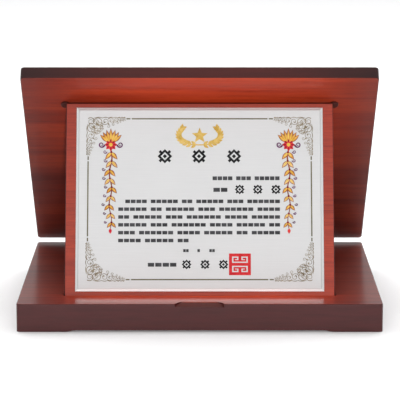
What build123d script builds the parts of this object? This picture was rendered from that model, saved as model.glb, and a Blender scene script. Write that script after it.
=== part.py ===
"""Folding award plaque: a wooden base and an equal lid hinged along the back edge.

The plaque panel pivots in a pocket of the base. Standing, it leans back and holds the
open lid up; lying flat in the pocket, it lets the lid fold down over it.

Millimetres. +X is across the plaque, the front faces -Y and +Z is up. The origin is the
centre of the footprint of the open plaque, on the surface that it stands on.
"""

import os
from math import atan, cos, degrees, radians, sin, tan

from build123d import *

os.makedirs("parts", exist_ok=True)

# ---------------------------------------------------------------- driving dimensions

# Case boards
case_width = 320.0
case_depth = 260.0
base_thickness = 25.0
lid_thickness = 12.5
corner_radius = 3.5  # corners seen from above
edge_radius = 1.0  # lacquered arris round each board
closed_gap = 2.2  # between lid and base when folded: the bumpers' height

# Poses at rest
lid_opening = 45.2  # between the lid and the base
panel_lean = 20.5  # of the panel, back from upright

# Feet under the base: a shallow arch between them on each side
foot_length = 42.0
ogee_length = 10.5
relief_height = 1.5

# Thumb scoop in the front edge of the base
scoop_width = 43.0
scoop_reach = 9.0
scoop_drop = 3.0

# Plaque panel
panel_width = 239.2
panel_thickness = 12.0
panel_edge = 0.8

# Pocket of the base
pocket_depth = 15.0
pocket_side_gap = 1.0
pocket_end_gap = 1.5
pocket_corner = 3.0
pocket_setback = 31.7  # front edge of the base to the pocket's front edge
stop_clearance = 0.3  # panel face to the undercut front wall that stops it
lining_thickness = 0.5

# Panel pivot
pivot_pin_radius = 1.5
pivot_pin_in_panel = 14.0
pivot_pin_in_base = 8.0
sleeve_radius = 2.5
sleeve_length = 10.0
running_clearance = 0.05

# Plate on the panel
plate_width = 220.5
plate_height = 166.0
plate_thickness = 1.5
plate_bevel_width = 2.6
plate_bevel_depth = 1.0
plate_margin_top = 4.2
adhesive_thickness = 0.3
adhesive_inset = 4.0

# Rubber bumpers on the lid
bumper_radius = 4.0
bumper_spacing = 243.0
bumper_round = 1.2
bumper_clearance = 0.3

# Butt hinges
hinge_spacing = 150.0
hinge_length = 60.0
hinge_leaf = 20.0
leaf_thickness = 1.0
knuckle_radius = 2.2
knuckle_gap = 0.3
hinge_pin_radius = 1.2
pin_head_radius = 1.8
pin_head_length = 0.8
pin_setback = 2.2  # pin axis behind the back edges of the boards

# Hinge screws, countersunk
screws_per_leaf = 3
screw_spacing = 21.0
screw_radius = 1.3
screw_head_radius = 2.3
screw_length = 9.0
screw_hole_clearance = 0.05
recess_length = 2.6
recess_width = 0.5
recess_depth = 0.6

# ---------------------------------------------------------------- derived places

opening = radians(lid_opening)
lean = radians(panel_lean)
half_panel = panel_thickness / 2

# The lid's rounded outer edge at the hinge is the rearmost line of the open plaque
overhang = (
    pin_setback
    - (pin_setback + edge_radius) * cos(opening)
    + (closed_gap / 2 + lid_thickness - edge_radius) * sin(opening)
    + edge_radius
)
front = -(case_depth + overhang) / 2
back = front + case_depth
middle = front + case_depth / 2
top = base_thickness

# Everything on the lid is drawn as if folded flat, in a frame on the hinge pin's axis
pin_y = back + pin_setback
pin_z = top + closed_gap / 2
base_frame = Plane((0, pin_y, pin_z), x_dir=(1, 0, 0), z_dir=(0, 0, 1))
lid_frame = Plane((0, pin_y, pin_z), x_dir=(1, 0, 0), z_dir=(0, sin(opening), cos(opening)))

# The panel's frame is on its pivot axis: y runs up the panel, z out of its face.
# Lying flat in the pocket, the panel clears the lining by the stop clearance.
pivot_drop = pocket_depth - lining_thickness - stop_clearance - half_panel
face_reach = half_panel + stop_clearance
pivot_y = front + pocket_setback + face_reach / cos(lean) - pivot_drop * tan(lean)
pivot_z = top - pivot_drop
panel_frame = Plane((0, pivot_y, pivot_z), x_dir=(1, 0, 0), z_dir=(0, -cos(lean), sin(lean)))

# Directions to sort edges and faces by
lid_out = Axis((0, 0, 0), lid_frame.z_dir)
panel_up = Axis((0, 0, 0), panel_frame.y_dir)
panel_out = Axis((0, 0, 0), panel_frame.z_dir)

# The panel is as long as brings its rounded back top edge to the lid's bumpers
edge_depth = -half_panel + panel_edge
at_pivot = lid_frame.to_local_coords(panel_frame.from_local_coords((0, 0, edge_depth)))
up_slope = lid_frame.z_dir.dot(panel_frame.y_dir)
touch_level = closed_gap / 2 - (closed_gap + bumper_clearance + panel_edge)
panel_length = (touch_level - at_pivot.Z) / up_slope + panel_edge
touch = panel_frame.from_local_coords((0, panel_length - panel_edge, edge_depth))
bumper_y = lid_frame.to_local_coords(touch).Y

pocket_half_width = panel_width / 2 + pocket_side_gap
pocket_back = pivot_y + panel_length + pocket_end_gap

screw_row = -(pin_setback + hinge_leaf * 0.55)
plate_centre = panel_length - plate_margin_top - plate_height / 2
plate_back = half_panel + adhesive_thickness


def section(frame, x):
    """Plane across the X axis at x, with the frame's own y and z as its axes."""
    return Plane(frame.origin + frame.x_dir * x, x_dir=frame.y_dir, z_dir=frame.x_dir)


def hinge_screw_spots(frame, side):
    """Screw places on one board's two hinge leaves, each looking out of the leaf.

    side is -1 on the base, where the leaf lies below the pin, and 1 on the lid.
    """
    leaf_face = side * (closed_gap / 2 - leaf_thickness)
    plane = Plane(
        frame.from_local_coords((0, screw_row, leaf_face)),
        x_dir=frame.x_dir,
        z_dir=frame.z_dir * -side,
    )
    first = -(screws_per_leaf - 1) / 2 * screw_spacing
    return {
        hinge_x: [
            plane * Pos(hinge_x + first + i * screw_spacing, 0, 0)
            for i in range(screws_per_leaf)
        ]
        for hinge_x in (-hinge_spacing / 2, hinge_spacing / 2)
    }


base_screws = hinge_screw_spots(base_frame, -1)
lid_screws = hinge_screw_spots(lid_frame, 1)


def keep(builder, name):
    """Label a finished piece and write it."""
    builder.part.label = name
    export_step(builder.part, f"parts/{name}.step")


# ---------------------------------------------------------------- base


def foot_relief(plane, half_span):
    """Arch between two feet: a flat top with an S-curve down to each foot."""
    radius = (ogee_length**2 + relief_height**2) / (4 * relief_height)
    turn = degrees(2 * atan(relief_height / ogee_length))
    with BuildSketch(plane) as arch:
        with BuildLine():
            foot_end = JernArc((half_span, 0), (-1, 0), radius, -turn)
            arch_end = JernArc(foot_end @ 1, foot_end % 1, radius, turn)
            Line(arch_end @ 1, (0, relief_height))
            Polyline((half_span, 0), (half_span, -relief_height), (0, -relief_height))
            mirror(about=Plane.YZ)
        make_face()
    return arch.sketch


with BuildPart() as base_board:
    with BuildSketch():
        with Locations((0, middle)):
            RectangleRounded(case_width, case_depth, corner_radius)
    extrude(amount=base_thickness)
    fillet(base_board.faces().sort_by(Axis.Z)[-1].edges(), edge_radius)

    # Feet at the four corners
    across = foot_relief(Plane.XZ.offset(-middle), case_width / 2 - foot_length)
    along = foot_relief(
        Plane((0, middle, 0), x_dir=(0, 1, 0), z_dir=(1, 0, 0)), case_depth / 2 - foot_length
    )
    extrude(across, amount=case_depth, both=True, mode=Mode.SUBTRACT)
    extrude(along, amount=case_width, both=True, mode=Mode.SUBTRACT)

    # Pocket, with its front wall undercut to the panel's lean as the panel's stop
    wall_y = pivot_y - face_reach - 0.2
    wall_z = top - (front + pocket_setback - wall_y) / tan(lean)
    floor_z = top - pocket_depth
    with BuildSketch(Plane.YZ):
        with BuildLine():
            Polyline(
                (front + pocket_setback, top),
                (wall_y, wall_z),
                (wall_y, floor_z),
                (pocket_back, floor_z),
                (pocket_back, top + 1),
                (front + pocket_setback, top + 1),
                close=True,
            )
        make_face()
    extrude(amount=pocket_half_width, both=True, mode=Mode.SUBTRACT)
    pocket_ends = (
        base_board.edges()
        .filter_by(Axis.Z)
        .filter_by(lambda edge: abs(edge.center().Y - pocket_back) < 0.01)
    )
    fillet(pocket_ends, pocket_corner)

    # Bores for the pivot sleeves, in both side walls of the pocket
    with BuildSketch(Plane.YZ):
        with Locations((pivot_y, pivot_z)):
            Circle(sleeve_radius)
    extrude(amount=pocket_half_width + sleeve_length, both=True, mode=Mode.SUBTRACT)

    # Thumb scoop: a ramp with round ends, from its back line down to the front face
    slope = atan(scoop_drop / scoop_reach)
    ramp = Plane(
        (0, front + scoop_reach, top), x_dir=(1, 0, 0), z_dir=(0, -sin(slope), cos(slope))
    )
    ramp_reach = scoop_reach / cos(slope)
    with BuildSketch(ramp):
        with Locations((0, -ramp_reach)):
            SlotOverall(scoop_width, 2 * ramp_reach)
    extrude(amount=2 * scoop_drop, mode=Mode.SUBTRACT)

    # Screw holes under the hinge leaves
    for spots in base_screws.values():
        with Locations(*spots):
            Hole(screw_radius + screw_hole_clearance, depth=screw_length + 1)
keep(base_board, "base_board")

with BuildPart() as pocket_lining:
    lining_length = pocket_back - wall_y - 0.4
    with BuildSketch(Plane.XY.offset(floor_z)):
        with Locations((0, wall_y + 0.2 + lining_length / 2)):
            RectangleRounded(2 * pocket_half_width - 0.4, lining_length, pocket_corner)
    extrude(amount=lining_thickness)
keep(pocket_lining, "pocket_lining")

for side, sign in (("left", -1), ("right", 1)):
    wall = Plane(
        (sign * pocket_half_width, pivot_y, pivot_z), x_dir=(0, 1, 0), z_dir=(sign, 0, 0)
    )
    with BuildPart() as pivot_sleeve:
        with BuildSketch(wall):
            Circle(sleeve_radius)
            Circle(pivot_pin_radius + running_clearance, mode=Mode.SUBTRACT)
        extrude(amount=sleeve_length)
    keep(pivot_sleeve, f"pivot_sleeve_{side}")

# ---------------------------------------------------------------- lid

with BuildPart() as lid_board:
    with BuildSketch(lid_frame.offset(closed_gap / 2)):
        with Locations((0, -pin_setback - case_depth / 2)):
            RectangleRounded(case_width, case_depth, corner_radius)
    extrude(amount=lid_thickness)
    broad_faces = lid_board.faces().sort_by(SortBy.AREA)[-2:]
    fillet(broad_faces.edges(), edge_radius)
    for spots in lid_screws.values():
        with Locations(*spots):
            Hole(screw_radius + screw_hole_clearance, depth=screw_length + 1)
keep(lid_board, "lid_board")

for side, sign in (("left", -1), ("right", 1)):
    with BuildPart() as lid_bumper:
        with BuildSketch(lid_frame.offset(closed_gap / 2)):
            with Locations((sign * bumper_spacing / 2, bumper_y)):
                Circle(bumper_radius)
        extrude(amount=-closed_gap)
        fillet(lid_bumper.edges().sort_by(lid_out)[0], bumper_round)
    keep(lid_bumper, f"lid_bumper_{side}")

# ---------------------------------------------------------------- hinges

knuckle_third = hinge_length / 3
outer_knuckles = [(0, knuckle_third - knuckle_gap), (2 * knuckle_third + knuckle_gap, None)]
middle_knuckle = [(knuckle_third, knuckle_third)]

for board, frame, lie, knuckles, spots in (
    ("base", base_frame, -1, outer_knuckles, base_screws),
    ("lid", lid_frame, 1, middle_knuckle, lid_screws),
):
    leaf_level = lie * (closed_gap - leaf_thickness) / 2
    bore = hinge_pin_radius + (running_clearance if board == "lid" else 0.02)
    for side, sign in (("left", -1), ("right", 1)):
        hinge_x = sign * hinge_spacing / 2
        start = hinge_x - hinge_length / 2
        with BuildPart() as leaf:
            # Flat leaf, cut clear of all the knuckles
            leaf_end = knuckle_radius + knuckle_gap
            leaf_reach = pin_setback + hinge_leaf
            with BuildSketch(section(frame, start)):
                with Locations((-leaf_reach / 2, leaf_level)):
                    Rectangle(leaf_reach, leaf_thickness)
                Circle(leaf_end, mode=Mode.SUBTRACT)
            extrude(amount=hinge_length)
            # Its own knuckles, each rolled out of the leaf
            for offset, length in knuckles:
                with BuildSketch(section(frame, start + offset)):
                    Circle(knuckle_radius)
                    with Locations((-leaf_end / 2 - 0.2, leaf_level)):
                        Rectangle(leaf_end + 0.4, leaf_thickness)
                extrude(amount=length or hinge_length - offset)
            with BuildSketch(section(frame, start)):
                Circle(bore)
            extrude(amount=hinge_length, mode=Mode.SUBTRACT)
            with Locations(*spots[hinge_x]):
                CounterSinkHole(
                    screw_radius + screw_hole_clearance,
                    screw_head_radius + screw_hole_clearance,
                    depth=2 * leaf_thickness,
                    counter_sink_angle=90,
                )
        keep(leaf, f"hinge_{board}_leaf_{side}")

for side, sign in (("left", -1), ("right", 1)):
    start = sign * hinge_spacing / 2 - hinge_length / 2
    with BuildPart() as hinge_pin:
        with BuildSketch(section(base_frame, start)):
            Circle(hinge_pin_radius)
        extrude(amount=hinge_length)
        for end, way in ((start, -1), (start + hinge_length, 1)):
            with BuildSketch(section(base_frame, end)):
                Circle(pin_head_radius)
            extrude(amount=way * pin_head_length)
        tips = hinge_pin.edges().filter_by(GeomType.CIRCLE).sort_by(Axis.X)
        fillet([tips[0], tips[-1]], 0.6 * pin_head_length)
    keep(hinge_pin, f"hinge_pin_{side}")

# One countersunk wood screw, its head's face at the origin and its shank down -Z
with BuildPart() as screw:
    with BuildSketch(Plane.XZ):
        with BuildLine():
            head_depth = screw_head_radius - screw_radius
            Polyline(
                (0, 0),
                (screw_head_radius, 0),
                (screw_radius, -head_depth),
                (screw_radius, -screw_length + 2),
                (0, -screw_length),
                close=True,
            )
        make_face()
    revolve(axis=Axis.Z)
    with BuildSketch():
        Rectangle(recess_length, recess_width)
        Rectangle(recess_width, recess_length)
    extrude(amount=-recess_depth, mode=Mode.SUBTRACT)

for board, spots in (("base", base_screws), ("lid", lid_screws)):
    with BuildPart() as hinge_screws:
        for leaf_spots in spots.values():
            with Locations(*leaf_spots):
                add(screw.part)
    keep(hinge_screws, f"{board}_hinge_screws")

# ---------------------------------------------------------------- plaque panel

with BuildPart() as panel_board:
    # A board with a half-round bottom edge about the pivot axis
    with BuildSketch(section(panel_frame, -panel_width / 2)):
        Circle(half_panel)
        with Locations((panel_length / 2, 0)):
            Rectangle(panel_length, panel_thickness)
    extrude(amount=panel_width)
    ends = panel_board.faces().sort_by(Axis.X)
    top_edges = (
        panel_board.edges().filter_by(Axis.X).sort_by(panel_up)[-2:]
    )
    fillet([*ends[0].edges(), *ends[-1].edges(), *top_edges], panel_edge)
    for sign in (-1, 1):
        side_edge = Plane(
            (sign * panel_width / 2, pivot_y, pivot_z), x_dir=(0, 1, 0), z_dir=(sign, 0, 0)
        )
        with BuildSketch(side_edge):
            Circle(pivot_pin_radius + 0.01)
        extrude(amount=-pivot_pin_in_panel, mode=Mode.SUBTRACT)
keep(panel_board, "panel_board")

for side, sign in (("left", -1), ("right", 1)):
    inner_end = Plane(
        (sign * (panel_width / 2 - pivot_pin_in_panel), pivot_y, pivot_z),
        x_dir=(0, 1, 0),
        z_dir=(sign, 0, 0),
    )
    with BuildPart() as pivot_pin:
        with BuildSketch(inner_end):
            Circle(pivot_pin_radius)
        extrude(amount=pivot_pin_in_panel + pocket_side_gap + pivot_pin_in_base)
        chamfer(pivot_pin.edges().filter_by(GeomType.CIRCLE), 0.3)
    keep(pivot_pin, f"pivot_pin_{side}")

with BuildPart() as plate_adhesive:
    with BuildSketch(panel_frame.offset(half_panel)):
        with Locations((0, plate_centre)):
            Rectangle(plate_width - 2 * adhesive_inset, plate_height - 2 * adhesive_inset)
    extrude(amount=adhesive_thickness)
keep(plate_adhesive, "plate_adhesive")

with BuildPart() as plaque_plate:
    with BuildSketch(panel_frame.offset(plate_back)):
        with Locations((0, plate_centre)):
            Rectangle(plate_width, plate_height)
    extrude(amount=plate_thickness)
    face = plaque_plate.faces().sort_by(panel_out)[-1]
    chamfer(face.edges(), plate_bevel_width, plate_bevel_depth, reference=face)
keep(plaque_plate, "plaque_plate")

print(f"overall depth {case_depth + overhang:.2f}, panel above pivot {panel_length:.2f}")
print(f"pivot y {pivot_y:.3f} z {pivot_z:.3f}, hinge pin y {pin_y:.3f} z {pin_z:.3f}")
print(f"pocket y {front + pocket_setback:.2f} to {pocket_back:.2f}, bumper y {bumper_y:.2f}")
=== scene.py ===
"""Looks for a folding award plaque: lacquered mahogany, a printed silver plate, brass hinges."""

import math

import bmesh
import bpy
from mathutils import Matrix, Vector


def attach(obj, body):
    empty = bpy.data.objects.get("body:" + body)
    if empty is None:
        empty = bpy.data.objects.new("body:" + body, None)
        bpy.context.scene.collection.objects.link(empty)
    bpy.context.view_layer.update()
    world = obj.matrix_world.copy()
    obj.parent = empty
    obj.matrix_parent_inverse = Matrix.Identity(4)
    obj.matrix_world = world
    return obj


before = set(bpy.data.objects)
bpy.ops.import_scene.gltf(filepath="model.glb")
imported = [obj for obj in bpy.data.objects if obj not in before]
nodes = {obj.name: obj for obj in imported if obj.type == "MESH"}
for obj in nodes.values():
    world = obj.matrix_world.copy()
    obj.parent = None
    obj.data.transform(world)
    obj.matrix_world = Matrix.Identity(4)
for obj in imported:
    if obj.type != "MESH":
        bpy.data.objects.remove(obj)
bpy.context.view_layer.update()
MM = 0.001

# ---------------------------------------------------------------- directions of the parts

LEAN = math.radians(20.5)  # of the panel, back from upright
OPENING = math.radians(45.2)  # between the lid and the base
UP = Vector((0, 0, 1))
ACROSS = Vector((1, 0, 0))
PANEL_UP = Vector((0, math.sin(LEAN), math.cos(LEAN)))
PANEL_OUT = Vector((0, -math.cos(LEAN), math.sin(LEAN)))
LID_OUT = Vector((0, math.sin(OPENING), math.cos(OPENING)))


def span(node, direction):
    """Lowest and highest reach of a CAD node along a direction."""
    reach = [v.co.dot(direction) for v in nodes[node].data.vertices]
    return min(reach), max(reach)


plate_middle = sum(span("plaque_plate", PANEL_UP)) / 2
plate_face = span("plaque_plate", PANEL_OUT)[1]
base_top = span("base_board", UP)[1]

# ---------------------------------------------------------------- material tools


def new_material(name):
    """A material with its node tree and its shader."""
    material = bpy.data.materials.new(name)
    material.use_nodes = True
    tree = material.node_tree
    return material, tree, tree.nodes["Principled BSDF"]


def add_node(tree, kind, **inputs):
    """Add a node and set its unlinked inputs by name (spaces as underscores)."""
    node = tree.nodes.new(kind)
    for name, value in inputs.items():
        node.inputs[name.replace("_", " ")].default_value = value
    return node


def stretched(tree, scale, rotation=(0, 0, 0)):
    """Object coordinates in metres, scaled along each axis."""
    coords = tree.nodes.new("ShaderNodeTexCoord")
    mapping = tree.nodes.new("ShaderNodeMapping")
    mapping.inputs["Scale"].default_value = scale
    mapping.inputs["Rotation"].default_value = rotation
    tree.links.new(coords.outputs["Object"], mapping.inputs["Vector"])
    return mapping.outputs["Vector"]


def noise(tree, vector, scale=1.0, detail=4.0, roughness=0.55, distortion=0.0):
    """Noise from 0 to 1 over a vector."""
    node = add_node(
        tree,
        "ShaderNodeTexNoise",
        Scale=scale,
        Detail=detail,
        Roughness=roughness,
        Distortion=distortion,
    )
    tree.links.new(vector, node.inputs["Vector"])
    return node.outputs["Fac"]


def ramp(tree, factor, stops):
    """Colour ramp; stops are (position, colour) with colours of three numbers."""
    node = tree.nodes.new("ShaderNodeValToRGB")
    elements = node.color_ramp.elements
    while len(elements) < len(stops):
        elements.new(0.5)
    for element, (position, colour) in zip(elements, stops):
        element.position = position
        element.color = (*colour, 1)
    tree.links.new(factor, node.inputs["Fac"])
    return node.outputs["Color"]


def mix(tree, kind, factor, a, b):
    """Mix two colours; factor, a and b may be sockets or plain values."""
    node = tree.nodes.new("ShaderNodeMix")
    node.data_type = "RGBA"
    node.blend_type = kind
    for socket, value in ((node.inputs[0], factor), (node.inputs[6], a), (node.inputs[7], b)):
        if isinstance(value, bpy.types.NodeSocket):
            tree.links.new(value, socket)
        elif isinstance(value, tuple):
            socket.default_value = (*value, 1)
        else:
            socket.default_value = value
    return node.outputs[2]


def scaled(tree, factor, low, high):
    """Map a 0 to 1 factor to low to high."""
    node = add_node(tree, "ShaderNodeMapRange", To_Min=low, To_Max=high)
    tree.links.new(factor, node.inputs["Value"])
    return node.outputs["Result"]


def bump(tree, shader, height, strength, distance):
    """Tilt the shader's normal by a height pattern."""
    node = add_node(tree, "ShaderNodeBump", Strength=strength, Distance=distance)
    tree.links.new(height, node.inputs["Height"])
    tree.links.new(node.outputs["Normal"], shader.inputs["Normal"])


def facing(tree, direction, low, high):
    """1 where the surface faces along or against a direction, falling to 0 where it turns away."""
    coords = tree.nodes.new("ShaderNodeTexCoord")
    dot = tree.nodes.new("ShaderNodeVectorMath")
    dot.operation = "DOT_PRODUCT"
    dot.inputs[1].default_value = direction
    tree.links.new(coords.outputs["Normal"], dot.inputs[0])
    size = tree.nodes.new("ShaderNodeMath")
    size.operation = "ABSOLUTE"
    tree.links.new(dot.outputs["Value"], size.inputs[0])
    step = add_node(tree, "ShaderNodeMapRange", From_Min=low, From_Max=high)
    tree.links.new(size.outputs[0], step.inputs["Value"])
    return step.outputs["Result"]


def level(tree, direction, height):
    """1 at a height or more along a direction, falling to 0 over 0.4 mm below it."""
    dot = tree.nodes.new("ShaderNodeVectorMath")
    dot.operation = "DOT_PRODUCT"
    dot.inputs[1].default_value = direction
    tree.links.new(tree.nodes.new("ShaderNodeTexCoord").outputs["Object"], dot.inputs[0])
    step = add_node(tree, "ShaderNodeMapRange", From_Min=height - 0.4 * MM, From_Max=height)
    tree.links.new(dot.outputs["Value"], step.inputs["Value"])
    return step.outputs["Result"]


def product(tree, a, b):
    """Two numbers multiplied."""
    node = tree.nodes.new("ShaderNodeMath")
    node.operation = "MULTIPLY"
    tree.links.new(a, node.inputs[0])
    tree.links.new(b, node.inputs[1])
    return node.outputs[0]


# ---------------------------------------------------------------- materials


def mahogany(name, face_direction, tone=1.0, edge_tone=1.0, gloss=0.45, figure=1.0, face_level=None):
    """Ribbon-striped mahogany, grain along X, under clear lacquer.

    The narrow edges are stained a flat dark brown before lacquering, and so is
    everything lower than face_level along the face's direction, if that is given.
    figure is the strength of the stripes.
    """
    material, tree, shader = new_material(name)
    mottle = noise(tree, stretched(tree, (1.6, 7, 7)), 1.0, 3.0, 0.6, 0.4)
    ribbon = noise(tree, stretched(tree, (1.2, 46, 46)), 1.0, 5.0, 0.62, 0.9)
    fibre = noise(tree, stretched(tree, (14, 620, 620)), 1.0, 4.0, 0.7, 0.2)
    pores = noise(tree, stretched(tree, (70, 1900, 1900)), 1.0, 2.0, 0.5)

    plain = (0.345, 0.035, 0.013)

    def shade(colour):
        """A stripe's colour, brought nearer to the plain colour and then toned."""
        return tuple(tone * (p + figure * (c - p)) for p, c in zip(plain, colour))

    wood = ramp(
        tree,
        ribbon,
        (
            (0.28, shade((0.215, 0.018, 0.008))),
            (0.45, shade((0.320, 0.030, 0.012))),
            (0.58, shade((0.420, 0.046, 0.016))),
            (0.74, shade(plain)),
        ),
    )
    wood = mix(
        tree,
        "MULTIPLY",
        0.75,
        wood,
        ramp(tree, mottle, ((0.3, (0.70, 0.62, 0.60)), (0.7, (1.18, 1.10, 1.02)))),
    )
    wood = mix(
        tree,
        "MULTIPLY",
        0.55,
        wood,
        ramp(tree, fibre, ((0.36, (0.62, 0.52, 0.50)), (0.6, (1.10, 1.10, 1.08)))),
    )
    pore_mask = ramp(tree, pores, ((0.30, (0.35, 0.28, 0.26)), (0.42, (1, 1, 1))))
    wood = mix(tree, "MULTIPLY", 0.5, wood, pore_mask)

    dark_stain = tuple(edge_tone * channel for channel in (0.050, 0.005, 0.005))
    light_stain = tuple(edge_tone * channel for channel in (0.074, 0.008, 0.008))
    stain_cloud = noise(tree, stretched(tree, (30, 420, 420)), 1.0, 5.0, 0.65)
    stain = ramp(tree, stain_cloud, ((0.3, dark_stain), (0.7, light_stain)))
    face = facing(tree, face_direction, 0.80, 0.93)
    if face_level is not None:
        face = product(tree, face, level(tree, face_direction, face_level))
    tree.links.new(mix(tree, "MIX", face, stain, wood), shader.inputs["Base Color"])
    tree.links.new(scaled(tree, fibre, 0.48, 0.62), shader.inputs["Roughness"])
    tree.links.new(scaled(tree, face, 0.25, 0.35), shader.inputs["Specular IOR Level"])
    tree.links.new(scaled(tree, face, 0.3, gloss), shader.inputs["Coat Weight"])
    shader.inputs["Coat Roughness"].default_value = 0.2
    shader.inputs["Coat IOR"].default_value = 1.5
    bump(tree, shader, pores, 0.12, 0.0002)
    return material


def velvet(name):
    """Short burgundy pile, brushed unevenly."""
    material, tree, shader = new_material(name)
    brushed = noise(tree, stretched(tree, (26, 18, 26)), 1.0, 3.0, 0.6, 0.6)
    pile = noise(tree, stretched(tree, (2600, 2600, 2600)), 1.0, 2.0, 0.6)
    colour = ramp(tree, brushed, ((0.3, (0.075, 0.006, 0.012)), (0.7, (0.16, 0.014, 0.024))))
    speck = ramp(tree, pile, ((0.3, (0.6, 0.6, 0.6)), (0.65, (1.2, 1.2, 1.2))))
    tree.links.new(mix(tree, "MULTIPLY", 0.8, colour, speck), shader.inputs["Base Color"])
    tree.links.new(scaled(tree, brushed, 0.82, 0.96), shader.inputs["Roughness"])
    shader.inputs["Sheen Weight"].default_value = 0.7
    shader.inputs["Sheen Roughness"].default_value = 0.35
    shader.inputs["Sheen Tint"].default_value = (0.85, 0.25, 0.3, 1)
    bump(tree, shader, pile, 0.7, 0.0004)
    return material


def metal(name, dark, light, rough, grain=(900, 60, 900), tarnish=0.25):
    """Drawn or rolled metal with fine lines and a little tarnish."""
    material, tree, shader = new_material(name)
    lines = noise(tree, stretched(tree, grain), 1.0, 4.0, 0.6)
    cloud = noise(tree, stretched(tree, (60, 60, 60)), 1.0, 4.0, 0.6, 0.5)
    colour = ramp(tree, lines, ((0.3, dark), (0.7, light)))
    dull = ramp(tree, cloud, ((0.35, (0.55, 0.5, 0.45)), (0.62, (1, 1, 1))))
    tree.links.new(mix(tree, "MULTIPLY", tarnish, colour, dull), shader.inputs["Base Color"])
    tree.links.new(scaled(tree, cloud, rough * 0.7, rough * 1.3), shader.inputs["Roughness"])
    shader.inputs["Metallic"].default_value = 1.0
    bump(tree, shader, lines, 0.15, 0.0002)
    return material


def rubber(name):
    """Dark brown moulded rubber with a dusty bloom."""
    material, tree, shader = new_material(name)
    bloom = noise(tree, stretched(tree, (380, 380, 380)), 1.0, 4.0, 0.6)
    grit = noise(tree, stretched(tree, (2800, 2800, 2800)), 1.0, 2.0, 0.5)
    colour = ramp(tree, bloom, ((0.3, (0.035, 0.006, 0.004)), (0.7, (0.075, 0.013, 0.009))))
    tree.links.new(colour, shader.inputs["Base Color"])
    tree.links.new(scaled(tree, bloom, 0.5, 0.7), shader.inputs["Roughness"])
    shader.inputs["Specular IOR Level"].default_value = 0.2
    bump(tree, shader, grit, 0.25, 0.0002)
    return material


def tape(name):
    """Double-sided foam tape, seen only as a thin edge under the plate."""
    material, tree, shader = new_material(name)
    cells = noise(tree, stretched(tree, (1500, 1500, 1500)), 1.0, 3.0, 0.6)
    colour = ramp(tree, cells, ((0.3, (0.42, 0.40, 0.36)), (0.7, (0.62, 0.60, 0.55))))
    tree.links.new(colour, shader.inputs["Base Color"])
    tree.links.new(scaled(tree, cells, 0.6, 0.8), shader.inputs["Roughness"])
    bump(tree, shader, cells, 0.4, 0.0002)
    return material


def silver_plate(name):
    """Satin silver sheet: finely brushed face, and a bevel painted with a highlight on its outer part and
    shade on its inner part.
    """
    material, tree, shader = new_material(name)
    face = facing(tree, PANEL_OUT, 0.93, 0.985)
    lines = noise(tree, stretched(tree, (26, 2400, 2400)), 1.0, 4.0, 0.7)
    cloud = noise(tree, stretched(tree, (16, 16, 16)), 1.0, 3.0, 0.5)
    field = ramp(tree, lines, ((0.3, (0.675, 0.675, 0.677)), (0.7, (0.72, 0.72, 0.722))))
    soft = ramp(tree, cloud, ((0.3, (0.97, 0.97, 0.97)), (0.7, (1, 1, 1))))
    field = mix(tree, "MULTIPLY", 1.0, field, soft)
    # Painted light on the bevel: the bright colour is a painted highlight on its outer part, the grey a
    # painted shade on its inner part next to the face
    bright = ramp(tree, lines, ((0.3, (0.84, 0.85, 0.85)), (0.7, (0.92, 0.93, 0.93))))
    grey = ramp(tree, lines, ((0.3, (0.54, 0.55, 0.54)), (0.7, (0.64, 0.65, 0.64))))
    edge = mix(tree, "MIX", level(tree, PANEL_OUT, plate_face - 0.05 * MM), bright, grey)
    tree.links.new(mix(tree, "MIX", face, edge, field), shader.inputs["Base Color"])
    tree.links.new(scaled(tree, face, 0.6, 0.12), shader.inputs["Metallic"])
    tree.links.new(scaled(tree, face, 0.38, 0.42), shader.inputs["Roughness"])
    bump(tree, shader, lines, 0.05, 0.0001)
    return material


def ink(name, low, high, scale=90.0):
    """Printing ink whose tone drifts a little between two colours."""
    material, tree, shader = new_material(name)
    drift = noise(tree, stretched(tree, (scale, scale, scale)), 1.0, 3.0, 0.6, 0.3)
    grain = noise(tree, stretched(tree, (3000, 3000, 3000)), 1.0, 2.0, 0.5)
    colour = ramp(tree, drift, ((0.36, low), (0.64, high)))
    speck = ramp(tree, grain, ((0.3, (0.9, 0.9, 0.9)), (0.7, (1.05, 1.05, 1.05))))
    tree.links.new(mix(tree, "MULTIPLY", 0.6, colour, speck), shader.inputs["Base Color"])
    tree.links.new(scaled(tree, grain, 0.5, 0.65), shader.inputs["Roughness"])
    shader.inputs["Specular IOR Level"].default_value = 0.12
    return material


def floor_card(name):
    """Seamless white studio paper."""
    material, tree, shader = new_material(name)
    tooth = noise(tree, stretched(tree, (400, 400, 400)), 1.0, 3.0, 0.6)
    colour = ramp(tree, tooth, ((0.3, (0.86, 0.86, 0.865)), (0.7, (0.88, 0.88, 0.885))))
    tree.links.new(colour, shader.inputs["Base Color"])
    shader.inputs["Roughness"].default_value = 0.9
    shader.inputs["Specular IOR Level"].default_value = 0.1
    return material


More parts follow.
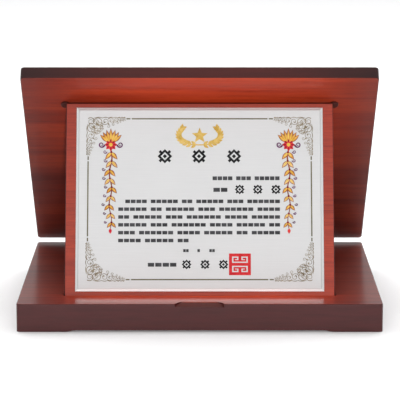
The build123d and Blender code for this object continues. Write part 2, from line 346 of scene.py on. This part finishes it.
brass = metal("brass", (0.40, 0.26, 0.09), (0.60, 0.42, 0.18), 0.36, tarnish=0.5)
steel = metal("steel", (0.42, 0.41, 0.40), (0.66, 0.65, 0.63), 0.26)
rubber_brown = rubber("bumper_rubber")
node_materials = {
    "base_board": mahogany("base_wood", UP, tone=0.72, gloss=0.62, face_level=base_top - 0.2 * MM),
    "lid_board": mahogany("lid_wood", LID_OUT, tone=0.5, edge_tone=0.34, gloss=0.22),
    "panel_board": mahogany("panel_wood", PANEL_OUT, tone=1.18, gloss=0.6, figure=0.55),
    "pocket_lining": velvet("lining_velvet"),
    "plate_adhesive": tape("foam_tape"),
    "plaque_plate": silver_plate("silver_plate"),
    "base_hinge_screws": steel,
    "lid_hinge_screws": steel,
}
for side in ("left", "right"):
    node_materials[f"lid_bumper_{side}"] = rubber_brown
    node_materials[f"pivot_sleeve_{side}"] = brass
    node_materials[f"pivot_pin_{side}"] = steel
    node_materials[f"hinge_pin_{side}"] = steel
    node_materials[f"hinge_base_leaf_{side}"] = brass
    node_materials[f"hinge_lid_leaf_{side}"] = brass
for name, material in node_materials.items():
    nodes[name].data.materials.clear()
    nodes[name].data.materials.append(material)

# ---------------------------------------------------------------- printing on the plate

# Places on the plate are (across, up) in millimetres from its middle
INK_THICKNESS = 0.1
LAYER_STEP = 0.05  # a later layer stands this much further off the plate
SHAPE_STEP = 0.004  # and so does each shape of a layer, in turns of SHAPE_TURNS
SHAPE_TURNS = 12
STEPS_PER_TURN = 26  # of a spiral
LEAF_STEPS = 6  # along each side of a leaf


def on_plate(across, up, lift):
    """The point in the frame for a place on the plate, this many millimetres off its face."""
    return (
        ACROSS * across * MM
        + PANEL_UP * (plate_middle + up * MM)
        + PANEL_OUT * (plate_face + lift * MM)
    )


def smooth_line(points, steps=8):
    """Points along a Catmull-Rom curve through a few chosen points."""
    ends = [points[0], *points, points[-1]]
    line = []
    for before, start, end, after in zip(ends, ends[1:], ends[2:], ends[3:]):
        for step in range(steps):
            t = step / steps
            weights = (
                -0.5 * t + t**2 - 0.5 * t**3,
                1 - 2.5 * t**2 + 1.5 * t**3,
                0.5 * t + 2 * t**2 - 1.5 * t**3,
                -0.5 * t**2 + 0.5 * t**3,
            )
            corners = (before, start, end, after)
            line.append(tuple(sum(w * p[axis] for w, p in zip(weights, corners)) for axis in (0, 1)))
    line.append(points[-1])
    return line


def spiral(middle, radius, start, turns, inner=0.18):
    """A spiral from its outside end inwards; start is in degrees, turns may be negative."""
    steps = max(10, round(STEPS_PER_TURN * abs(turns)))
    line = []
    for step in range(steps + 1):
        t = step / steps
        reach = radius * (1 - (1 - inner) * t)
        angle = math.radians(start) + math.tau * turns * t
        line.append(polar(middle, reach, angle))
    return line


def polar(middle, radius, angle):
    """The place at a distance from a middle; the angle is in radians."""
    return (middle[0] + radius * math.cos(angle), middle[1] + radius * math.sin(angle))


def ring_points(middle, radius, count):
    """Evenly spaced places round a circle."""
    return [polar(middle, radius, math.tau * k / count) for k in range(count)]


class Print:
    """One colour of raised printing, made of many flat shapes."""

    def __init__(self, name, material, layer=0):
        self.name = name
        self.material = material
        self.layer = layer
        self.mesh = bmesh.new()
        self.shapes = 0

    def lift(self):
        """Shapes of one colour differ a hair in height, so that crossings stay clean."""
        self.shapes += 1
        turn = self.shapes % SHAPE_TURNS
        return INK_THICKNESS + LAYER_STEP * self.layer + SHAPE_STEP * turn

    def corner(self, point, lift, flip):
        """A mesh corner at a place; flip mirrors it about the plate's middle lines."""
        across, up = point
        return self.mesh.verts.new(on_plate(flip[0] * across, flip[1] * up, lift))

    def area(self, points, flip=(1, 1)):
        """A flat shape with these corners."""
        lift = self.lift()
        self.mesh.faces.new([self.corner(p, lift, flip) for p in points])

    def bar(self, left, right, low, high, flip=(1, 1)):
        """A rectangle."""
        self.area([(left, low), (right, low), (right, high), (left, high)], flip)

    def ribbon(self, line, width, taper=(1.0, 0.25), swell=0.0, flip=(1, 1)):
        """A stroke along a line; taper is the width at each end, swell adds to its middle."""
        lift = self.lift()
        last = len(line) - 1
        before = None
        for index, (across, up) in enumerate(line):
            ahead = line[min(index + 1, last)]
            behind = line[max(index - 1, 0)]
            run, rise = ahead[0] - behind[0], ahead[1] - behind[1]
            length = math.hypot(run, rise) or 1.0
            t = index / last
            share = taper[0] + (taper[1] - taper[0]) * t + swell * math.sin(math.pi * t)
            reach = 0.5 * width * share / length
            side = [
                self.corner((across - rise * reach, up + run * reach), lift, flip),
                self.corner((across + rise * reach, up - run * reach), lift, flip),
            ]
            if before:
                self.mesh.faces.new([before[0], before[1], side[1], side[0]])
            before = side

    def leaf(self, root, angle, length, width, flip=(1, 1)):
        """A pointed leaf from its root; the angle is in degrees."""
        along = polar((0, 0), 1, math.radians(angle))
        there = [(step / LEAF_STEPS, 0.5 * width) for step in range(LEAF_STEPS + 1)]
        home = [(1 - step / LEAF_STEPS, -0.5 * width) for step in range(1, LEAF_STEPS)]
        outline = []
        for t, reach in there + home:
            half = reach * math.sin(math.pi * t**0.8)
            outline.append(
                (
                    root[0] + along[0] * length * t - along[1] * half,
                    root[1] + along[1] * length * t + along[0] * half,
                )
            )
        self.area(outline, flip)

    def finish(self):
        """Give the shapes their thickness and put the piece on the panel."""
        top = self.mesh.faces[:]
        grown = bmesh.ops.extrude_face_region(self.mesh, geom=top, use_keep_orig=True)
        moved = [part for part in grown["geom"] if isinstance(part, bmesh.types.BMVert)]
        bmesh.ops.translate(self.mesh, verts=moved, vec=-PANEL_OUT * INK_THICKNESS * MM)
        bmesh.ops.recalc_face_normals(self.mesh, faces=self.mesh.faces)
        data = bpy.data.meshes.new(self.name)
        self.mesh.to_mesh(data)
        self.mesh.free()
        piece = bpy.data.objects.new(self.name, data)
        piece.data.materials.append(self.material)
        bpy.context.scene.collection.objects.link(piece)
        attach(piece, "panel")


BOTH_SIDES = ((1, 1), (-1, 1))
ALL_CORNERS = ((1, 1), (-1, 1), (1, -1), (-1, -1))

# Border: four fine lines, each with a short dash beyond its ends, before the corner scrolls
BORDER_ACROSS, BORDER_UP = 99.7, 72.65  # half sizes
LINE_WIDTH = 1.1


def border_lines():
    """The four lines of the border, and their dashes."""
    lines = Print("border_lines", ink("olive_ink", (0.13, 0.115, 0.062), (0.19, 0.17, 0.10)))
    low_edge, high_edge = BORDER_UP - LINE_WIDTH / 2, BORDER_UP + LINE_WIDTH / 2
    inner_edge, outer_edge = BORDER_ACROSS - LINE_WIDTH / 2, BORDER_ACROSS + LINE_WIDTH / 2
    for flip in ((1, 1), (1, -1)):
        lines.bar(-60.8, 60.8, low_edge, high_edge, flip)
    for flip in BOTH_SIDES:
        lines.bar(inner_edge, outer_edge, -33.9, 33.9, flip)
    for flip in ALL_CORNERS:
        lines.bar(62.1, 65.6, low_edge, high_edge, flip)
        lines.bar(inner_edge, outer_edge, 35.2, 38.4, flip)
    lines.finish()


def corner_scrolls():
    """Filigree of shrinking scrolls and tendrils that runs both ways from each corner."""
    scrolls = Print("corner_scrolls", ink("taupe_ink", (0.19, 0.145, 0.085), (0.325, 0.265, 0.18)))
    reach = 35.5
    corner = (BORDER_ACROSS + 1.6, BORDER_UP + 1.6)

    def place(line, swap):
        """From (along one side, in from it) at the corner to plate places."""
        return [
            (corner[0] - (depth if swap else along), corner[1] - (along if swap else depth))
            for along, depth in line
        ]

    for flip in ALL_CORNERS:
        corner_spirals = (((3.9, 3.9), 3.5, 1.7), ((8.6, 4.0), 2.9, -1.5), ((4.0, 8.6), 2.9, 1.5))
        for middle, radius, turns in corner_spirals:
            line = spiral(middle, radius, 225, turns)
            scrolls.ribbon(place(line, False), 0.2 * radius, flip=flip)
        for middle in ((8.4, 8.4), (11.6, 11.6), (8.8, 13.6), (13.6, 8.8), (6.2, 12.4), (12.4, 6.2)):
            scrolls.ribbon(place(spiral(middle, 2.1, 40, 1.4), False), 0.55, flip=flip)
        for swap in (False, True):
            along, radius, turn = 10.5, 4.2, 1
            while along < reach - 1.5:
                line = spiral((along, radius + 0.5), radius, 180 + 25 * turn, 1.45 * turn, 0.1)
                scrolls.ribbon(place(line, swap), 0.26 + 0.08 * radius, (1.0, 0.5), flip=flip)
                small = 0.5 * radius
                line = spiral((along + 0.8 * radius, 2.2 * radius + 0.6 * small), small, 250, -1.2 * turn)
                scrolls.ribbon(place(line, swap), 0.22 + 0.06 * radius, (1.0, 0.5), flip=flip)
                line = smooth_line([(along - radius, 1.1), (along, 0.2), (along + radius, 0.8)])
                scrolls.ribbon(place(line, swap), 0.5, (0.3, 0.3), 0.9, flip)
                for back, height, bend in ((0.7, 2.0, 0.7), (0.2, 1.2, 0.4)):
                    start = (along - back * radius, height * radius)
                    end = (start[0] + 0.2 * radius, start[1] + bend * radius)
                    between = (start[0] - 0.15 * radius, 0.5 * (start[1] + end[1]))
                    line = smooth_line([start, between, end])
                    scrolls.ribbon(place(line, swap), 0.3 * radius, (0.3, 0.1), 0.8, flip)
                along += 1.5 * radius
                radius *= 0.8
                turn = -turn
    scrolls.finish()


def laurel_emblem():
    """A plain star in a wide laurel wreath, open at the top."""
    gold = Print("laurel_emblem", ink("gold_ink", (0.56, 0.34, 0.06), (0.76, 0.53, 0.16), 200))
    middle = (0, 57.2)
    star = []
    for k in range(10):
        reach = 7.4 if k % 2 == 0 else 3.2
        star.append(polar(middle, reach, math.pi / 2 + math.pi * k / 5))
    gold.area(star)
    for flip in BOTH_SIDES:
        branch = smooth_line([(-1.6, 48.8), (9.4, 49.6), (16.6, 53.4), (18.4, 59.0), (15.0, 64.6)], 6)
        gold.ribbon(branch, 1.1, (1, 0.4), flip=flip)
        for index in range(3, len(branch) - 1, 2):
            t = index / len(branch)
            (across, up), (ahead, higher) = branch[index], branch[index + 1]
            angle = math.degrees(math.atan2(higher - up, ahead - across))
            for spread in (36, -36):
                gold.leaf((across, up), angle + spread, 5.6 - 1.4 * t, 2.7 - 0.5 * t, flip)
    gold.finish()


def ring_of_bars(page, middle, corner, width):
    """A square ring, turned to any angle: corner is the way from its middle to one outer corner."""
    size = math.hypot(*corner)
    inner = (size - width * math.sqrt(2)) / size
    outline = [corner]
    for _ in range(3):
        across, up = outline[-1]
        outline.append((-up, across))
    for (x0, y0), (x1, y1) in zip(outline, outline[1:] + outline[:1]):
        bar = ((x0, y0), (x1, y1), (inner * x1, inner * y1), (inner * x0, inner * y0))
        page.area([(middle[0] + across, middle[1] + up) for across, up in bar])


def lozenge_mark(page, middle, size):
    """A bold ornament: a diamond ring round a small diamond, with four more at its sides."""
    ring_of_bars(page, middle, (size * 0.5, 0), size * 0.15)
    page.area(ring_points(middle, size * 0.15, 4))
    for k in range(4):
        place = polar(middle, size * 0.43, math.radians(45 + 90 * k))
        page.area(ring_points(place, size * 0.125, 4))


def greeked_line(page, left, right, up, words, height):
    """Words as rows of small blocks: the look of a line of type, with no lettering."""
    gap = 0.6
    pitch = (right - left) / (sum(words) + gap * (len(words) - 1))
    across = left
    for word in words:
        for _ in range(word):
            page.bar(across + 0.07 * pitch, across + 0.93 * pitch, up - height / 2, up + height / 2)
            across += pitch
        across += gap * pitch


def wording():
    """Stand-ins for the wording: bold ornaments in black, and lines of small blocks in grey."""
    black = Print("wording", ink("black_ink", (0.010, 0.010, 0.011), (0.022, 0.022, 0.024)))
    for across in (-31.1, -0.6, 30.7):
        lozenge_mark(black, (across, 38.5), 13.0)
    for across in (35.7, 51.8, 68.0):
        lozenge_mark(black, (across, 8.4), 8.8)
    for across in (-11.6, 4.8, 21.1):
        lozenge_mark(black, (across, -59.1), 8.6)

    grey = Print("fine_wording", ink("soft_black_ink", (0.045, 0.045, 0.048), (0.080, 0.080, 0.085)))
    greeked_line(grey, 11.2, 71.6, 18.5, (4, 3, 5), 3.4)
    greeked_line(grey, 11.8, 25.2, 8.0, (2,), 3.6)
    left_edge, right_edge = -72.8, 71.8
    indent = 6.2
    spacing = 7.05
    pattern = (4, 5, 2, 5, 3, 6)  # word lengths, which each row starts one word later
    for row in range(5):
        left = left_edge + (indent if row == 0 else 0)
        greeked_line(grey, left, right_edge, -2.4 - spacing * row, pattern[row:] + pattern[:row], 3.1)
    greeked_line(grey, left_edge, -9.5, -2.4 - spacing * 5, pattern[:3], 3.1)
    for left, right, count in ((-14.8, -9.6, 2), (-2.2, 0.4, 1), (8.4, 13.6, 2)):
        greeked_line(grey, left, right, -46.7, (count,), 2.6)
    greeked_line(grey, -46.4, -20.2, -59.4, (4,), 3.4)
    black.finish()
    grey.finish()


def seal():
    """A red square frame round four square-spiral keys."""
    red = Print("seal", ink("seal_red_ink", (0.60, 0.022, 0.030), (0.76, 0.045, 0.050), 260))
    middle, half, stroke = (35.7, -59.0), 9.7, 1.35
    ring_of_bars(red, middle, (half, half), 1.5)
    reach = 3.5  # of one key, from its middle to the middle of its outer strokes
    key = [(-reach, -reach), (reach, -reach), (reach, reach), (-reach, reach)]
    key += [(-reach, -0.3 * reach), (0.25 * reach, -0.3 * reach), (0.25 * reach, 0.3 * reach)]
    key += [(-0.3 * reach, 0.3 * reach)]
    for side_across, side_up in ALL_CORNERS:
        centre = (middle[0] + side_across * 4.15, middle[1] + side_up * 4.15)
        for (x0, y0), (x1, y1) in zip(key, key[1:]):
            left, right = sorted((side_across * x0, side_across * x1))
            low, high = sorted((side_up * y0, side_up * y1))
            red.bar(
                centre[0] + left - stroke / 2,
                centre[0] + right + stroke / 2,
                centre[1] + low - stroke / 2,
                centre[1] + high + stroke / 2,
            )
    red.finish()


# Garlands: the left one's middle line, the middle of its flower and the end of its stem
GARLAND_ACROSS, GARLAND_TOP, GARLAND_END = -79.5, 49.0, -27.0
STEM_STEPS = 60
STEM_WAVES = 2.5
STEM_SWING = 1.1  # each way
LEAF_PAIRS = 9


def garland_colours():
    """The colours of the garlands by name, each a layer and a piece of its own."""
    colours = (
        ("brown", "brown_ink", (0.22, 0.055, 0.030), (0.34, 0.10, 0.05), 0),
        ("orange", "orange_ink", (0.64, 0.25, 0.06), (0.80, 0.42, 0.12), 1),
        ("peach", "peach_ink", (0.72, 0.42, 0.18), (0.84, 0.58, 0.30), 2),
        ("gold", "yellow_ink", (0.74, 0.45, 0.05), (0.86, 0.64, 0.13), 3),
        ("crimson", "crimson_ink", (0.13, 0.006, 0.018), (0.30, 0.015, 0.04), 4),
        ("purple", "purple_ink", (0.085, 0.010, 0.065), (0.17, 0.030, 0.14), 4),
        ("red", "bright_red_ink", (0.62, 0.020, 0.040), (0.76, 0.060, 0.050), 2),
    )
    return {
        name: Print(f"flourish_{name}", ink(ink_name, low, high, 160), layer)
        for name, ink_name, low, high, layer in colours
    }


def outlined_leaf(colours, colour, root, angle, length, width, flip):
    """A leaf with a brown outline and a gold heart."""
    colours["brown"].leaf(root, angle, length, width, flip)
    colours[colour].leaf(root, angle, 0.92 * length, 0.66 * width, flip)
    colours["gold"].leaf(root, angle, 0.78 * length, 0.28 * width, flip)


def palmette(colours, flip):
    """An upright fan of seven leaves, the middle one the longest."""
    for k in range(-3, 4):
        root = (GARLAND_ACROSS + 0.8 * k, GARLAND_TOP + 2.5)
        outlined_leaf(colours, "orange", root, 90 - 16 * k, 12.5 - 0.9 * abs(k), 3.6, flip)


def flower(colours, flip):
    """Eight red petals with a gold middle, between two purple scrolls."""
    middle = (GARLAND_ACROSS, GARLAND_TOP)
    for k in range(8):
        colours["red"].leaf(middle, 45 * k, 5.8, 3.9, flip)
        root = polar(middle, 2.2, math.tau * k / 8)
        colours["crimson"].leaf(root, 45 * k, 2.8, 1.0, flip)
    colours["gold"].area(ring_points(middle, 1.6, 16), flip)
    for side, start in ((1, 180), (-1, 0)):
        scroll = spiral((GARLAND_ACROSS + side * 8.3, GARLAND_TOP), 2.7, start, 1.4 * side)
        colours["purple"].ribbon(scroll, 1.4, flip=flip)


def hanging_stem(colours, flip):
    """A wavy stem under the flower, with pairs of leaves that shrink on the way down."""
    top = GARLAND_TOP - 4.5

    def place(t):
        swing = STEM_SWING * math.sin(math.tau * STEM_WAVES * t)
        return (GARLAND_ACROSS + swing, top + (GARLAND_END - top) * t)

    stem = [place(step / STEM_STEPS) for step in range(STEM_STEPS + 1)]
    colours["brown"].ribbon(stem, 1.4, (1.0, 0.5), flip=flip)
    for pair in range(LEAF_PAIRS):
        t = (pair + 0.3) / LEAF_PAIRS
        root = place(t)
        colour = ("orange", "peach")[pair % 2]
        for spread in (40, -40):
            outlined_leaf(colours, colour, root, spread - 90, 8.6 - 2.6 * t, 3.9 - 1.1 * t, flip)
        colours["crimson"].area(ring_points(root, 1.0, 12), flip)
        tendril = spiral((root[0] - 5.6, root[1] + 0.4), 1.7 - 0.5 * t, 0, -1.3)
        colours["purple"].ribbon(tendril, 0.8, flip=flip)
    colours["red"].leaf(place(1), -90, 4.6, 2.8, flip)


def garlands():
    """On each side of the wording: a palmette and a flower over a hanging stem of leaves."""
    colours = garland_colours()
    for flip in BOTH_SIDES:
        palmette(colours, flip)
        flower(colours, flip)
        hanging_stem(colours, flip)
    for colour in colours.values():
        colour.finish()


border_lines()
corner_scrolls()
laurel_emblem()
wording()
seal()
garlands()

# ---------------------------------------------------------------- stage

bpy.ops.mesh.primitive_plane_add(size=14)
floor = bpy.context.object
floor.name = "floor"
floor.data.materials.append(floor_card("studio_paper"))

# Camera: a long lens from straight in front, looking down a little
camera_place = Vector((0.0003, -1.98062, 0.4749))
camera_pitch = math.radians(10.9624)
camera_data = bpy.data.cameras.new("camera")
camera_data.sensor_width = 36.0
camera_data.lens = 196.1
camera = bpy.data.objects.new("camera", camera_data)
camera.location = camera_place
camera.rotation_euler = (math.pi / 2 - camera_pitch, 0, 0)
bpy.context.scene.collection.objects.link(camera)
bpy.context.scene.camera = camera


def softbox(name, place, target, size, power, colour=(1, 1, 1)):
    """A rectangular lamp that shines at a target."""
    data = bpy.data.lights.new(name, "AREA")
    data.shape = "RECTANGLE"
    data.size, data.size_y = size
    data.energy = power
    data.color = colour
    lamp = bpy.data.objects.new(name, data)
    lamp.location = place
    lamp.rotation_euler = (Vector(target) - Vector(place)).to_track_quat("-Z", "Y").to_euler()
    bpy.context.scene.collection.objects.link(lamp)
    return lamp


def restrict(lamp, things, state):
    """Make a lamp light only these objects (INCLUDE), or all but these (EXCLUDE)."""
    group = bpy.data.collections.new(f"{lamp.name}_group")
    for thing in things:
        group.objects.link(thing)
    lamp.light_linking.receiver_collection = group
    for entry in group.collection_objects:
        entry.light_linking.link_state = state


front = softbox("front", (0.0, -2.6, 0.50), (0, 0, 0.1), (1.6, 0.6), 20)
restrict(front, [nodes["lid_board"]], "EXCLUDE")
softbox("high_back", (0.0, 1.1, 1.7), (0, -0.1, 0), (2.4, 1.6), 24)
floor_wash = softbox("floor_wash", (0.0, 1.6, 3.2), (0, 0.8, 0), (5.0, 4.0), 95)
restrict(floor_wash, [floor], "INCLUDE")
# Fills the shadow in front of the feet
floor_fill = softbox("floor_fill", (0.0, -3.0, 0.45), (0, 0, 0), (2.0, 0.3), 80)
restrict(floor_fill, [floor], "INCLUDE")

# Light that the plate throws down on the base in front of it
glow_place = (0, -0.111, 0.05)
glow_target = (0, -0.111, 0.02)
plate_glow = softbox("plate_glow", glow_place, glow_target, (0.215, 0.008), 0.055, (1, 0.8, 0.2))
plate_glow.visible_glossy = False
restrict(plate_glow, [nodes["base_board"]], "INCLUDE")

# A narrow lamp from beside the camera brings out the middle of the lid's inner face
spot = bpy.data.lights.new("lid_spot", "SPOT")
spot.energy = 530
spot.color = (1, 1, 0.7)
spot.spot_size = math.radians(10.6)
spot.spot_blend = 1.0
spot.shadow_soft_size = 0.05
lid_spot = bpy.data.objects.new("lid_spot", spot)
lid_spot.location = (0.08, -2.0, 0.32)
aim = Vector((0, -0.05, 0.242)) - lid_spot.location
lid_spot.rotation_euler = aim.to_track_quat("-Z", "Y").to_euler()
bpy.context.scene.collection.objects.link(lid_spot)
lid_spot.visible_glossy = False
restrict(lid_spot, [nodes["lid_board"]], "INCLUDE")

world = bpy.data.worlds.new("studio")
world.use_nodes = True
world.node_tree.nodes["Background"].inputs["Color"].default_value = (1, 1, 1, 1)
world.node_tree.nodes["Background"].inputs["Strength"].default_value = 0.55
bpy.context.scene.world = world
bpy.context.scene.view_settings.view_transform = "Standard"
